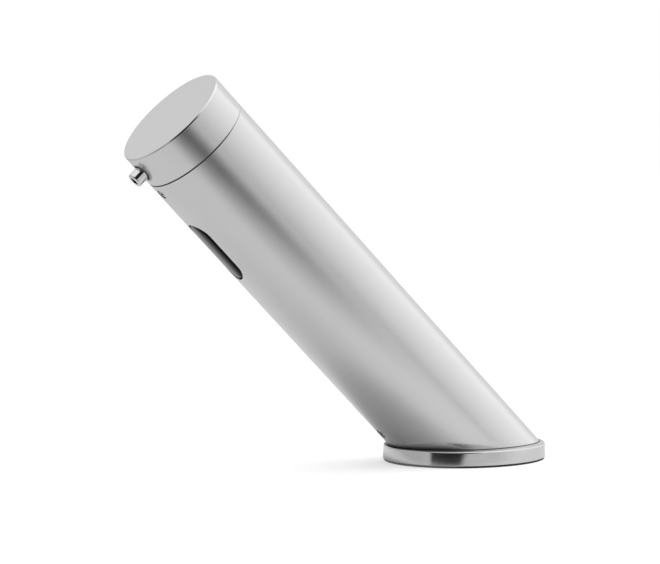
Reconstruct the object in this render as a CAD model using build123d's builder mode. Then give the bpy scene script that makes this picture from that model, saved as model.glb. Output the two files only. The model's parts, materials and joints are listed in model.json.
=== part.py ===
from build123d import *

import os
from math import cos, pi, radians, sin, tan

# Touch-free soap dispenser spout that is bolted to a deck. A round tube leans
# forward from an oval base plate, a cap with the outlet nozzle closes its top,
# and a dark window in its underside hides the hand sensor.
#
# Frame: millimetres, +Z up, the deck is the plane Z = 0, the spout leans
# towards -Y, and the origin is midway between the two stud holes.
# Along the leaning tube, a place is given by its station, which is counted
# along the tube's axis from the plate's top face, its drop, which is counted
# from the axis towards the underside, and its side, which is along +X.

os.makedirs("parts", exist_ok=True)

# The spout's driving sizes
lean = 44.0
tube_d = 45.0
tube_wall = 2.0
seam_station = 165.5
cap_height = 14.15

# Gaps and cuts
slip_gap = 0.3
ring_gap = 0.15
thread_gap = 0.05
snug_gap = 0.05
overrun = 2.0

# Base plate, gasket and studs
plate_width = 56.6
plate_length = 65.2
plate_thickness = 6.3
plate_edge_radius = 1.2
gasket_width = 3.0
gasket_thickness = 0.8
gasket_inset = 0.4
passage_d = 21.0
stud_thread_d = 5.0
stud_pitch = 30.4
stud_depth = 14.0

# Core that carries the tube, and its screws
core_station = 46.0
core_lead = 1.0
core_ring_station = 23.8
core_ring_section = 1.4
core_screw_d = 4.0
core_screw_head_d = 7.6
core_screw_reach = 4.8
core_screw_key = 2.5
core_screw_key_depth = 1.4
core_screw_side = 15.0
core_screw_front = 11.0
core_screw_rear = 19.2

# Grub screws that hold the cap and the tube
grub_d = 4.0
grub_length = 3.0
grub_recess = 0.3
grub_key = 2.0
grub_key_depth = 1.4
grub_chamfer = 0.3
cap_grub_below_seam = 4.3
base_grub_station = 29.2
keyway_gap = 0.3

# End cap
cap_skirt = 5.0
cap_face = 3.0
cap_edge = 0.35
seam_edge = 0.25
spigot_length = 10.0
cap_ring_section = 1.2
cap_ring_below_seam = 1.25

# Outlet nozzle, its nut and washer
nozzle_above_seam = 7.1
nozzle_d = 6.0
nozzle_bore_d = 3.3
nozzle_reach = 4.4
nozzle_chamfer = 0.35
nozzle_inner_drop = 13.0
recess_d = 7.6
recess_depth = 1.2
seat_depth = 0.3
seat_d = 11.0
washer_d = 10.0
washer_thickness = 0.5
nut_across = 8.6
nut_thickness = 2.4

# Drip valve behind the nozzle
valve_d = 7.6
valve_front_drop = 14.6
valve_back_drop = 1.0
chamber_d = 4.6
seat_drop = 7.6
inlet_d = 2.2
inlet_end_drop = 3.4
boss_d = 5.6
boss_reach = 5.2
poppet_d = 3.8
poppet_thickness = 0.8
poppet_stem_d = 1.5
poppet_stem_length = 1.8
poppet_pilot_d = 1.7
poppet_pilot_length = 0.9
spring_wire_d = 0.34
spring_d = 3.4
spring_turns = 4
spring_gap = 0.05

# Soap hose, its barb, ferrule and coupling
hose_drop = 4.5
hose_d = 6.0
hose_wall = 1.0
barb_thread_d = 3.4
barb_thread_length = 3.0
barb_bore_d = 2.2
barb_collar_d = 5.4
barb_collar_length = 1.5
barb_length = 8.0
ferrule_thickness = 0.7
ferrule_length = 4.0
ferrule_drop = 1.8
coupling_station = 10.0
coupling_length = 18.0
coupling_d = 9.6
coupling_socket = 7.5
coupling_waist = 0.6
collar_length = 1.6
collar_thickness = 0.8

# Sensor window and its gasket
window_below_seam = 35.5
window_length = 29.4
window_width = 13.3
window_recess = 0.5
window_gap = 0.1
flange_margin = 2.0
flange_thickness = 1.0
window_gasket_thickness = 0.4

# Infrared sensor behind the window
housing_length = 40.0
housing_width = 17.0
housing_wall = 2.4
housing_back_drop = 9.5
housing_corner = 1.5
board_drop = 14.0
board_thickness = 1.2
eye_pocket_length = 14.0
eye_pocket_width = 10.6
eye_pocket_wall = 2.0
eye_pitch = 15.6
eye_d = 5.0
eye_rim_d = 5.8
eye_rim_height = 0.8
eye_tip_gap = 0.5
chip_side = 5.0
chip_height = 1.2
cover_thickness = 1.2
cover_screw_d = 1.4
cover_screw_head_d = 2.4
cover_screw_head_height = 0.7
cover_screw_length = 4.0
cover_screw_inset = 1.3
cover_slot_width = 0.4
cover_slot_depth = 0.35

# Sensor cable, its gland and plug
cable_d = 2.5
cable_side = 4.5
cable_drop = 11.5
cable_inside = 3.0
cable_straight = 12.0
cable_bend_fall = 28.0
cable_bend_share = 0.45
gland_neck_d = 3.6
gland_flange_d = 5.4
gland_flange_length = 1.2
gland_tip_d = 3.5
gland_length = 9.0
plug_side = 5.4
plug_drop = -3.4
plug_station = 10.0
plug_length = 19.0
plug_d = 7.0
plug_nut_d = 7.6
plug_nut_length = 8.0
plug_shell_wall = 0.6
plug_shell_depth = 5.0
plug_pin_d = 0.7
plug_pin_circle_d = 3.2
plug_pin_count = 4
plug_taper_length = 4.0
plug_tip_d = 3.6

# Sizes that follow from the ones above
tube_r = tube_d / 2
bore_r = tube_r - tube_wall
core_r = bore_r - slip_gap
passage_r = passage_d / 2
cap_cavity_r = tube_r - cap_skirt
wall_cut_drop = cap_cavity_r - tube_wall
top_station = seam_station + cap_height
foot_reach = tube_r * tan(radians(lean))
grub_tip_drop = tube_r - grub_recess - grub_length
keyway_floor = grub_tip_drop - keyway_gap
keyway_width = grub_d + 2 * keyway_gap
cap_grub_station = seam_station - cap_grub_below_seam
nozzle_station = seam_station + nozzle_above_seam
window_station = seam_station - window_below_seam
seat_wall_drop = cap_cavity_r + seat_depth
hose_top_station = nozzle_station - boss_reach - barb_collar_length - snug_gap
hose_end_station = coupling_station + coupling_length - coupling_socket
flange_r = bore_r - window_gasket_thickness
housing_front_r = flange_r - flange_thickness - snug_gap
housing_foot_station = window_station - housing_length / 2

axis_dir = Vector(0, -sin(radians(lean)), cos(radians(lean)))
under_dir = Vector(0, -cos(radians(lean)), -sin(radians(lean)))
side_dir = Vector(1, 0, 0)
foot = Vector(0, 0, plate_thickness)


def place(station, drop=0, side=0):
    """Point at a station along the tube, a drop below its axis and a side step."""
    return foot + axis_dir * station + under_dir * drop + side_dir * side


def across(station, drop=0, side=0):
    """Plane square to the tube, facing up it."""
    return Plane(origin=place(station, drop, side), x_dir=side_dir, z_dir=axis_dir)


def below(station, drop, side=0):
    """Plane along the tube that faces out of its underside, with Y up the tube."""
    return Plane(origin=place(station, drop, side), x_dir=side_dir, z_dir=under_dir)


def half_section(drop=0, side=0):
    """Plane whose X is a radius and whose Y is the station, for what is turned along the tube."""
    return Plane(origin=place(0, drop, side), x_dir=side_dir, z_dir=under_dir)


def long_axis(drop=0, side=0):
    """Axis along the tube."""
    return Axis(place(0, drop, side), axis_dir)


# Half section and axis of what is turned round the nozzle: X is a radius and Y a drop
nozzle_section = Plane(origin=place(nozzle_station), x_dir=side_dir, z_dir=-axis_dir)
nozzle_axis = Axis(place(nozzle_station), under_dir)

# The plate's underside and the core's, both seen from below, with Y to the rear
deck_side = Plane(origin=(0, 0, 0), x_dir=-side_dir, z_dir=(0, 0, -1))
core_side = Plane(origin=foot, x_dir=-side_dir, z_dir=(0, 0, -1))
core_screw_places = [
    (-core_screw_side, -core_screw_front),
    (core_screw_side, -core_screw_front),
    (0, core_screw_rear),
]

# Base plate: an oval disc with a rounded top edge, a rebate for the gasket
# round its underside, an oval passage, and holes for the studs and screws
with BuildPart() as base_plate:
    with BuildSketch(Plane.XY):
        Ellipse(plate_width / 2, plate_length / 2)
    extrude(amount=plate_thickness)
    fillet(base_plate.faces().sort_by(Axis.Z)[-1].edges(), radius=plate_edge_radius)
    with BuildSketch(Plane.XY):
        Ellipse(plate_width / 2 + overrun, plate_length / 2 + overrun)
        Ellipse(plate_width / 2 - gasket_width, plate_length / 2 - gasket_width, mode=Mode.SUBTRACT)
    extrude(amount=gasket_thickness, mode=Mode.SUBTRACT)
    with BuildSketch(Plane.XY):
        Ellipse(passage_r, passage_r / cos(radians(lean)))
    extrude(amount=plate_thickness, mode=Mode.SUBTRACT)
    with Locations(deck_side):
        with GridLocations(stud_pitch, stud_pitch, 2, 1):
            Hole(stud_thread_d / 2)
        with Locations(*core_screw_places):
            CounterSinkHole(core_screw_d / 2 + thread_gap, core_screw_head_d / 2 + thread_gap,
                            counter_sink_angle=90)
base_plate.part.label = "base_plate"
export_step(base_plate.part, "parts/base_plate.step")

# Deck gasket: a flat rubber ring that fills the rebate, a little inside the edge
with BuildPart() as deck_gasket:
    with BuildSketch(Plane.XY):
        Ellipse(plate_width / 2 - gasket_inset, plate_length / 2 - gasket_inset)
        Ellipse(plate_width / 2 - gasket_width + snug_gap, plate_length / 2 - gasket_width + snug_gap,
                mode=Mode.SUBTRACT)
    extrude(amount=gasket_thickness)
deck_gasket.part.label = "deck_gasket"
export_step(deck_gasket.part, "parts/deck_gasket.step")

# Base core: a plug along the tube's axis, cut level where it stands on the plate,
# with the passage for hose and cable, a ring groove, and a keyway that lets the
# grub screw's tip slide out when the tube is lifted
with BuildPart() as base_core:
    with BuildSketch(across(-foot_reach)):
        Circle(core_r)
        Circle(passage_r, mode=Mode.SUBTRACT)
    extrude(amount=foot_reach + core_station)
    chamfer(base_core.faces().sort_by(Axis(place(0), axis_dir))[-1].outer_wire().edges(), core_lead)
    with BuildSketch(half_section()):
        with Locations((core_r, core_ring_station)):
            Rectangle(2 * (core_ring_section - slip_gap + ring_gap), core_ring_section)
    revolve(axis=long_axis(), mode=Mode.SUBTRACT)
    keyway_start = base_grub_station - keyway_width / 2
    keyway_length = core_station + overrun - keyway_start
    with BuildSketch(below(keyway_start + keyway_length / 2, keyway_floor)):
        Rectangle(keyway_width, keyway_length)
    extrude(amount=tube_r - keyway_floor, mode=Mode.SUBTRACT)
    split(bisect_by=Plane.XY.offset(plate_thickness), keep=Keep.TOP)
    with Locations(core_side):
        with GridLocations(stud_pitch, stud_pitch, 2, 1):
            Hole(stud_thread_d / 2, depth=stud_depth - plate_thickness)
        with Locations(*core_screw_places):
            Hole(core_screw_d / 2 + thread_gap, depth=core_screw_reach + snug_gap)
base_core.part.label = "base_core"
export_step(base_core.part, "parts/base_core.step")

# O-ring on the core, in its groove
core_ring_r = bore_r - ring_gap - core_ring_section / 2
with BuildPart() as core_o_ring:
    with BuildSketch(half_section()):
        with Locations((core_ring_r, core_ring_station)):
            Circle(core_ring_section / 2)
    revolve(axis=long_axis())
core_o_ring.part.label = "core_o_ring"
export_step(core_o_ring.part, "parts/core_o_ring.step")

# Countersunk screws that hold the core from below: head, shank and hex socket
core_screw_r = core_screw_d / 2
core_head_r = core_screw_head_d / 2
core_screw_top = plate_thickness + core_screw_reach
with BuildPart() as core_screws:
    for screw_x, screw_y in core_screw_places:
        screw_foot = Vector(-screw_x, screw_y, 0)
        with BuildSketch(Plane(origin=screw_foot, x_dir=side_dir, z_dir=(0, -1, 0))):
            with BuildLine():
                Polyline((0, 0), (core_head_r, 0), (core_screw_r, core_head_r - core_screw_r),
                         (core_screw_r, core_screw_top), (0, core_screw_top), close=True)
            make_face()
        revolve(axis=Axis(screw_foot, (0, 0, 1)))
        with BuildSketch(Plane(origin=screw_foot, x_dir=side_dir, z_dir=(0, 0, 1))):
            RegularPolygon(core_screw_key / 2, 6, major_radius=False)
        extrude(amount=core_screw_key_depth, mode=Mode.SUBTRACT)
core_screws.part.label = "core_screws"
export_step(core_screws.part, "parts/core_screws.step")

# Spout tube: its foot is cut level on the plate, its underside has the window's
# aperture and the two tapped holes, and its top edge is broken at the seam
with BuildPart() as spout_tube:
    with BuildSketch(across(-foot_reach)):
        Circle(tube_r)
        Circle(bore_r, mode=Mode.SUBTRACT)
    extrude(amount=foot_reach + seam_station)
    chamfer(spout_tube.faces().sort_by(Axis(place(0), axis_dir))[-1].outer_wire().edges(), seam_edge)
    split(bisect_by=Plane.XY.offset(plate_thickness), keep=Keep.TOP)
    with BuildSketch(below(window_station, wall_cut_drop)):
        SlotOverall(window_length, window_width, rotation=90)
    extrude(amount=tube_r, mode=Mode.SUBTRACT)
    for grub_station in (base_grub_station, cap_grub_station):
        with BuildSketch(below(grub_station, wall_cut_drop)):
            Circle(grub_d / 2 + thread_gap)
        extrude(amount=tube_r, mode=Mode.SUBTRACT)
spout_tube.part.label = "spout_tube"
export_step(spout_tube.part, "parts/spout_tube.step")

# The two grub screws, which point at the axis, with a hex socket in the outer end
for grub_name, grub_station in (("base_grub_screw", base_grub_station),
                                ("cap_grub_screw", cap_grub_station)):
    with BuildPart() as grub_screw:
        with BuildSketch(below(grub_station, grub_tip_drop)):
            Circle(grub_d / 2)
        extrude(amount=grub_length)
        chamfer(grub_screw.edges().filter_by(GeomType.CIRCLE), grub_chamfer)
        with BuildSketch(below(grub_station, tube_r - grub_recess)):
            RegularPolygon(grub_key / 2, 6, major_radius=False)
        extrude(amount=-grub_key_depth, mode=Mode.SUBTRACT)
    grub_screw.part.label = grub_name
    export_step(grub_screw.part, f"parts/{grub_name}.step")

# End cap: face, skirt and spigot turned in one, with a ring groove, the nozzle's
# hole and recess, a flat seat inside for its washer, and a keyway in the spigot
spigot_r = bore_r - slip_gap
cap_ring_station = seam_station - cap_ring_below_seam
with BuildPart() as end_cap:
    with BuildSketch(half_section()):
        with BuildLine():
            Polyline((0, top_station), (tube_r - cap_edge, top_station),
                     (tube_r, top_station - cap_edge), (tube_r, seam_station + seam_edge),
                     (tube_r - seam_edge, seam_station), (spigot_r, seam_station),
                     (spigot_r, seam_station - spigot_length),
                     (cap_cavity_r, seam_station - spigot_length),
                     (cap_cavity_r, top_station - cap_face), (0, top_station - cap_face), close=True)
        make_face()
    revolve(axis=long_axis())
    with BuildSketch(half_section()):
        with Locations((spigot_r, cap_ring_station)):
            Rectangle(2 * (cap_ring_section - slip_gap + ring_gap), cap_ring_section)
    revolve(axis=long_axis(), mode=Mode.SUBTRACT)
    with BuildSketch(below(nozzle_station, 0)):
        Circle(seat_d / 2)
    extrude(amount=seat_wall_drop, mode=Mode.SUBTRACT)
    with BuildSketch(below(nozzle_station, 0)):
        Circle(nozzle_d / 2 + thread_gap)
    extrude(amount=tube_r, mode=Mode.SUBTRACT)
    with BuildSketch(below(nozzle_station, tube_r - recess_depth)):
        Circle(recess_d / 2)
    extrude(amount=recess_depth + overrun, mode=Mode.SUBTRACT)
    keyway_end = cap_grub_station + keyway_width / 2
    cap_keyway_length = keyway_end - seam_station + spigot_length + overrun
    with BuildSketch(below(keyway_end - cap_keyway_length / 2, keyway_floor)):
        Rectangle(keyway_width, cap_keyway_length)
    extrude(amount=tube_r - keyway_floor, mode=Mode.SUBTRACT)
end_cap.part.label = "end_cap"
export_step(end_cap.part, "parts/end_cap.step")

# O-ring on the cap's spigot
cap_ring_r = bore_r - ring_gap - cap_ring_section / 2
with BuildPart() as cap_o_ring:
    with BuildSketch(half_section()):
        with Locations((cap_ring_r, cap_ring_station)):
            Circle(cap_ring_section / 2)
    revolve(axis=long_axis())
cap_o_ring.part.label = "cap_o_ring"
export_step(cap_o_ring.part, "parts/cap_o_ring.step")

# Outlet nozzle: a plain chromed tube, chamfered at both ends
nozzle_r = nozzle_d / 2
nozzle_bore_r = nozzle_bore_d / 2
nozzle_tip_drop = tube_r + nozzle_reach
with BuildPart() as outlet_nozzle:
    with BuildSketch(nozzle_section):
        with BuildLine():
            Polyline((nozzle_bore_r, nozzle_inner_drop), (nozzle_r - nozzle_chamfer, nozzle_inner_drop),
                     (nozzle_r, nozzle_inner_drop + nozzle_chamfer),
                     (nozzle_r, nozzle_tip_drop - nozzle_chamfer),
                     (nozzle_r - nozzle_chamfer, nozzle_tip_drop),
                     (nozzle_bore_r + nozzle_chamfer, nozzle_tip_drop),
                     (nozzle_bore_r, nozzle_tip_drop - nozzle_chamfer), close=True)
        make_face()
    revolve(axis=nozzle_axis)
outlet_nozzle.part.label = "outlet_nozzle"
export_step(outlet_nozzle.part, "parts/outlet_nozzle.step")

# Washer and hex nut that hold the nozzle in the cap's wall
with BuildPart() as nozzle_washer:
    with BuildSketch(below(nozzle_station, seat_wall_drop)):
        Circle(washer_d / 2)
        Circle(nozzle_r + thread_gap, mode=Mode.SUBTRACT)
    extrude(amount=-washer_thickness)
nozzle_washer.part.label = "nozzle_washer"
export_step(nozzle_washer.part, "parts/nozzle_washer.step")

with BuildPart() as nozzle_nut:
    with BuildSketch(below(nozzle_station, seat_wall_drop - washer_thickness)):
        RegularPolygon(nut_across / 2, 6, major_radius=False)
        Circle(nozzle_r + thread_gap, mode=Mode.SUBTRACT)
    extrude(amount=-nut_thickness)
nozzle_nut.part.label = "nozzle_nut"
export_step(nozzle_nut.part, "parts/nozzle_nut.step")

# Drip valve's body: screwed on the nozzle's inner end, with the spring chamber,
# the seat, the inlet, and a boss down the tube for the hose barb
valve_r = valve_d / 2
chamber_r = chamber_d / 2
inlet_r = inlet_d / 2
barb_seat_station = nozzle_station - boss_reach
with BuildPart() as valve_body:
    with BuildSketch(nozzle_section):
        with BuildLine():
            Polyline((0, valve_back_drop), (valve_r, valve_back_drop), (valve_r, valve_front_drop),
                     (0, valve_front_drop), close=True)
        make_face()
    revolve(axis=nozzle_axis)
    with BuildSketch(across(barb_seat_station, hose_drop)):
        Circle(boss_d / 2)
    extrude(amount=boss_reach)
    with BuildSketch(nozzle_section):
        with BuildLine():
            Polyline((0, inlet_end_drop), (inlet_r, inlet_end_drop), (inlet_r, seat_drop),
                     (chamber_r, seat_drop), (chamber_r, nozzle_inner_drop - snug_gap),
                     (nozzle_r + thread_gap, nozzle_inner_drop - snug_gap),
                     (nozzle_r + thread_gap, valve_front_drop), (0, valve_front_drop), close=True)
        make_face()
    revolve(axis=nozzle_axis, mode=Mode.SUBTRACT)
    with BuildSketch(across(barb_seat_station, hose_drop)):
        Circle(barb_bore_d / 2)
    extrude(amount=boss_reach, mode=Mode.SUBTRACT)
    with BuildSketch(across(barb_seat_station, hose_drop)):
        Circle(barb_thread_d / 2 + thread_gap)
    extrude(amount=barb_thread_length + snug_gap, mode=Mode.SUBTRACT)
valve_body.part.label = "valve_body"
export_step(valve_body.part, "parts/valve_body.step")

# Drip valve's poppet: a disc on the seat, a pilot in the inlet, a stem in the spring
poppet_face_drop = seat_drop + poppet_thickness
with BuildPart() as valve_poppet:
    with BuildSketch(nozzle_section):
        with BuildLine():
            Polyline((0, seat_drop - poppet_pilot_length),
                     (poppet_pilot_d / 2, seat_drop - poppet_pilot_length),
                     (poppet_pilot_d / 2, seat_drop), (poppet_d / 2, seat_drop),
                     (poppet_d / 2, poppet_face_drop), (poppet_stem_d / 2, poppet_face_drop),
                     (poppet_stem_d / 2, poppet_face_drop + poppet_stem_length),
                     (0, poppet_face_drop + poppet_stem_length), close=True)
        make_face()
    revolve(axis=nozzle_axis)
valve_poppet.part.label = "valve_poppet"
export_step(valve_poppet.part, "parts/valve_poppet.step")

# Drip valve's spring, between the poppet's disc and the nozzle's inner end
spring_wire_r = spring_wire_d / 2
spring_start_drop = poppet_face_drop + spring_gap + spring_wire_r
spring_rise = nozzle_inner_drop - spring_gap - spring_wire_r - spring_start_drop
spring_r = (spring_d - spring_wire_d) / 2
with BuildPart() as valve_spring:
    with BuildLine():
        coil = Helix(pitch=spring_rise / spring_turns, height=spring_rise, radius=spring_r,
                     center=place(nozzle_station, spring_start_drop), direction=under_dir)
    with BuildSketch(Plane(origin=coil @ 0, z_dir=coil % 0)):
        Circle(spring_wire_r)
    sweep(path=coil, is_frenet=True)
valve_spring.part.label = "valve_spring"
export_step(valve_spring.part, "parts/valve_spring.step")

# Hose barb: thread, collar and a stem that the hose is pushed on
hose_bore_r = hose_d / 2 - hose_wall
barb_tip_station = barb_seat_station - barb_collar_length - barb_length
with BuildPart() as hose_barb:
    with BuildSketch(half_section(hose_drop)):
        with BuildLine():
            Polyline((barb_bore_d / 2, barb_tip_station), (hose_bore_r - snug_gap, barb_tip_station),
                     (hose_bore_r - snug_gap, barb_seat_station - barb_collar_length),
                     (barb_collar_d / 2, barb_seat_station - barb_collar_length),
                     (barb_collar_d / 2, barb_seat_station), (barb_thread_d / 2, barb_seat_station),
                     (barb_thread_d / 2, barb_seat_station + barb_thread_length),
                     (barb_bore_d / 2, barb_seat_station + barb_thread_length), close=True)
        make_face()
    revolve(axis=long_axis(hose_drop))
hose_barb.part.label = "hose_barb"
export_step(hose_barb.part, "parts/hose_barb.step")

# Soap hose: straight down the tube from the barb into the coupling
with BuildPart() as soap_hose:
    with BuildSketch(across(hose_end_station, hose_drop)):
        Circle(hose_d / 2)
        Circle(hose_bore_r, mode=Mode.SUBTRACT)
    extrude(amount=hose_top_station - hose_end_station)
soap_hose.part.label = "soap_hose"
export_step(soap_hose.part, "parts/soap_hose.step")

# Ferrule that clamps the hose on its barb
with BuildPart() as hose_ferrule:
    with BuildSketch(across(hose_top_station - ferrule_drop - ferrule_length, hose_drop)):
        Circle(hose_d / 2 + snug_gap + ferrule_thickness)
        Circle(hose_d / 2 + snug_gap, mode=Mode.SUBTRACT)
    extrude(amount=ferrule_length)
hose_ferrule.part.label = "hose_ferrule"
export_step(hose_ferrule.part, "parts/hose_ferrule.step")

# Hose coupling: a socket for this hose above, a socket for the supply hose below,
# and a waist that grips are pressed on
coupling_r = coupling_d / 2
socket_r = hose_d / 2 + snug_gap
coupling_top = coupling_station + coupling_length
collar_r = hose_d / 2 + snug_gap + collar_thickness
with BuildPart() as hose_coupling:
    with BuildSketch(half_section(hose_drop)):
        with BuildLine():
            Polyline((socket_r, coupling_station), (coupling_r, coupling_station),
                     (coupling_r, coupling_station + coupling_socket),
                     (coupling_r - coupling_waist, coupling_station + coupling_socket),
                     (coupling_r - coupling_waist, coupling_top - coupling_socket),
                     (coupling_r, coupling_top - coupling_socket), (coupling_r, coupling_top),
                     (socket_r, coupling_top), (socket_r, hose_end_station),
                     (hose_bore_r, hose_end_station),
                     (hose_bore_r, coupling_station + coupling_socket),
                     (socket_r, coupling_station + coupling_socket), close=True)
        make_face()
    revolve(axis=long_axis(hose_drop))
hose_coupling.part.label = "hose_coupling"
export_step(hose_coupling.part, "parts/hose_coupling.step")

# Release collar round the hose on top of the coupling
with BuildPart() as coupling_collar:
    with BuildSketch(across(coupling_top, hose_drop)):
        Circle(collar_r)
        Circle(socket_r, mode=Mode.SUBTRACT)
    extrude(amount=collar_length)
coupling_collar.part.label = "coupling_collar"
export_step(coupling_collar.part, "parts/coupling_collar.step")

# Sensor window: an obround lens that fills the aperture, a little sunk, with a
# flange inside the tube; both follow the tube's curve
flange_length = window_length + 2 * flange_margin
flange_width = window_width + 2 * flange_margin
with BuildPart() as sensor_window:
    with BuildSketch(below(window_station, wall_cut_drop)):
        SlotOverall(flange_length, flange_width, rotation=90)
    extrude(amount=tube_r)
    with BuildSketch(across(window_station - flange_length)):
        Circle(flange_r)
    extrude(amount=2 * flange_length, mode=Mode.INTERSECT)
    with BuildSketch(below(window_station, wall_cut_drop)):
        SlotOverall(window_length - 2 * window_gap, window_width - 2 * window_gap, rotation=90)
    extrude(amount=tube_r)
    with BuildSketch(across(window_station - flange_length)):
        Circle(tube_r - window_recess)
    extrude(amount=2 * flange_length, mode=Mode.INTERSECT)
    with BuildSketch(across(window_station - flange_length)):
        Circle(flange_r - flange_thickness)
    extrude(amount=2 * flange_length, mode=Mode.SUBTRACT)
sensor_window.part.label = "sensor_window"
export_step(sensor_window.part, "parts/sensor_window.step")

# Gasket between the window's flange and the tube's inner wall
with BuildPart() as window_gasket:
    with BuildSketch(below(window_station, wall_cut_drop)):
        SlotOverall(flange_length, flange_width, rotation=90)
        SlotOverall(window_length, window_width, rotation=90, mode=Mode.SUBTRACT)
    extrude(amount=tube_r)
    with BuildSketch(across(window_station - flange_length)):
        Circle(bore_r)
        Circle(flange_r, mode=Mode.SUBTRACT)
    extrude(amount=2 * flange_length, mode=Mode.INTERSECT)
window_gasket.part.label = "window_gasket"
export_step(window_gasket.part, "parts/window_gasket.step")

# Sensor housing: a case whose front follows the window's flange, with two eye
# pockets parted by a light baffle, a ledge for the board, and a notch for the gland
board_back_drop = board_drop - board_thickness
pocket_front_drop = housing_front_r - eye_pocket_wall
inner_length = housing_length - 2 * housing_wall
inner_width = housing_width - 2 * housing_wall
cover_screws_across = housing_width - 2 * cover_screw_inset
cover_screws_along = housing_length - 2 * cover_screw_inset
with BuildPart() as sensor_housing:
    with BuildSketch(below(window_station, housing_back_drop)):
        RectangleRounded(housing_width, housing_length, housing_corner)
    extrude(amount=tube_r - housing_back_drop)
    with BuildSketch(across(window_station - housing_length)):
        Circle(housing_front_r)
    extrude(amount=2 * housing_length, mode=Mode.INTERSECT)
    with BuildSketch(below(window_station, housing_back_drop)):
        Rectangle(inner_width, inner_length)
    extrude(amount=board_drop - housing_back_drop, mode=Mode.SUBTRACT)
    with BuildSketch(below(window_station, board_drop)):
        with GridLocations(eye_pitch, eye_pitch, 1, 2):
            Rectangle(eye_pocket_width, eye_pocket_length)
    extrude(amount=pocket_front_drop - board_drop, mode=Mode.SUBTRACT)
    with BuildSketch(below(window_station, board_drop)):
        with GridLocations(eye_pitch, eye_pitch, 1, 2):
            Circle(eye_rim_d / 2 + snug_gap)
    extrude(amount=tube_r - board_drop, mode=Mode.SUBTRACT)
    with BuildSketch(across(housing_foot_station, cable_drop, cable_side)):
        Circle(gland_neck_d / 2 + snug_gap)
        with Locations((0, (cable_drop - housing_back_drop) / 2)):
            Rectangle(gland_neck_d + 2 * snug_gap, cable_drop - housing_back_drop)
    extrude(amount=housing_wall, mode=Mode.SUBTRACT)
    with BuildSketch(below(window_station, housing_back_drop)):
        with GridLocations(cover_screws_across, cover_screws_along, 2, 2):
            Circle(cover_screw_d / 2 + thread_gap)
    extrude(amount=cover_screw_length - cover_thickness + snug_gap, mode=Mode.SUBTRACT)
sensor_housing.part.label = "sensor_housing"
export_step(sensor_housing.part, "parts/sensor_housing.step")

# Sensor's circuit board, on the housing's ledge
with BuildPart() as sensor_board:
    with BuildSketch(below(window_station, board_back_drop)):
        Rectangle(inner_width - 2 * snug_gap, inner_length - 2 * snug_gap)
    extrude(amount=board_thickness)
sensor_board.part.label = "sensor_board"
export_step(sensor_board.part, "parts/sensor_board.step")

# The chip on the back of the board
with BuildPart() as sensor_chip:
    with BuildSketch(below(window_station + eye_pitch / 2, board_back_drop)):
        Rectangle(chip_side, chip_side)
    extrude(amount=-chip_height)
sensor_chip.part.label = "sensor_chip"
export_step(sensor_chip.part, "parts/sensor_chip.step")

# Infrared emitter and receiver: a rim on the board, a barrel and a domed tip
eye_r = eye_d / 2
eye_tip_drop = housing_front_r - eye_tip_gap
for eye_name, eye_station in (("ir_emitter", window_station + eye_pitch / 2),
                              ("ir_receiver", window_station - eye_pitch / 2)):
    with BuildPart() as eye:
        with BuildSketch(below(eye_station, board_drop)):
            Circle(eye_rim_d / 2)
        extrude(amount=eye_rim_height)
        with BuildSketch(below(eye_station, board_drop)):
            Circle(eye_r)
        extrude(amount=eye_tip_drop - eye_r / 2 - board_drop)
        fillet(eye.faces().sort_by(Axis(place(0), under_dir))[-1].edges(), eye_r / 2)
    eye.part.label = eye_name
    export_step(eye.part, f"parts/{eye_name}.step")

# Back cover of the sensor housing, and its four screws
with BuildPart() as sensor_cover:
    with BuildSketch(below(window_station, housing_back_drop - cover_thickness)):
        RectangleRounded(housing_width, housing_length, housing_corner)
        with GridLocations(cover_screws_across, cover_screws_along, 2, 2):
            Circle(cover_screw_d / 2 + thread_gap, mode=Mode.SUBTRACT)
    extrude(amount=cover_thickness)
sensor_cover.part.label = "sensor_cover"
export_step(sensor_cover.part, "parts/sensor_cover.step")

cover_back_drop = housing_back_drop - cover_thickness
with BuildPart() as cover_screws:
    with BuildSketch(below(window_station, cover_back_drop)):
        with GridLocations(cover_screws_across, cover_screws_along, 2, 2):
            Circle(cover_screw_d / 2)
    extrude(amount=cover_screw_length)
    with BuildSketch(below(window_station, cover_back_drop)):
        with GridLocations(cover_screws_across, cover_screws_along, 2, 2):
            Circle(cover_screw_head_d / 2)
    extrude(amount=-cover_screw_head_height)
    with BuildSketch(below(window_station, cover_back_drop - cover_screw_head_height)):
        with GridLocations(cover_screws_across, cover_screws_along, 2, 2):
            Rectangle(cover_screw_head_d, cover_slot_width)
    extrude(amount=cover_slot_depth, mode=Mode.SUBTRACT)
cover_screws.part.label = "cover_screws"
export_step(cover_screws.part, "parts/cover_screws.step")

# Cable gland: neck in the housing's notch, flange, and a tapered sleeve
cable_r = cable_d / 2
gland_foot_station = housing_foot_station - gland_length
with BuildPart() as cable_gland:
    with BuildSketch(half_section(cable_drop, cable_side)):
        with BuildLine():
            Polyline((cable_r + snug_gap, gland_foot_station), (gland_tip_d / 2, gland_foot_station),
                     (gland_neck_d / 2, housing_foot_station - gland_flange_length),
                     (gland_flange_d / 2, housing_foot_station - gland_flange_length),
                     (gland_flange_d / 2, housing_foot_station),
                     (gland_neck_d / 2, housing_foot_station),
                     (gland_neck_d / 2, housing_foot_station + housing_wall),
                     (cable_r + snug_gap, housing_foot_station + housing_wall), close=True)
        make_face()
    revolve(axis=long_axis(cable_drop, cable_side))
cable_gland.part.label = "cable_gland"
export_step(cable_gland.part, "parts/cable_gland.step")

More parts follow.
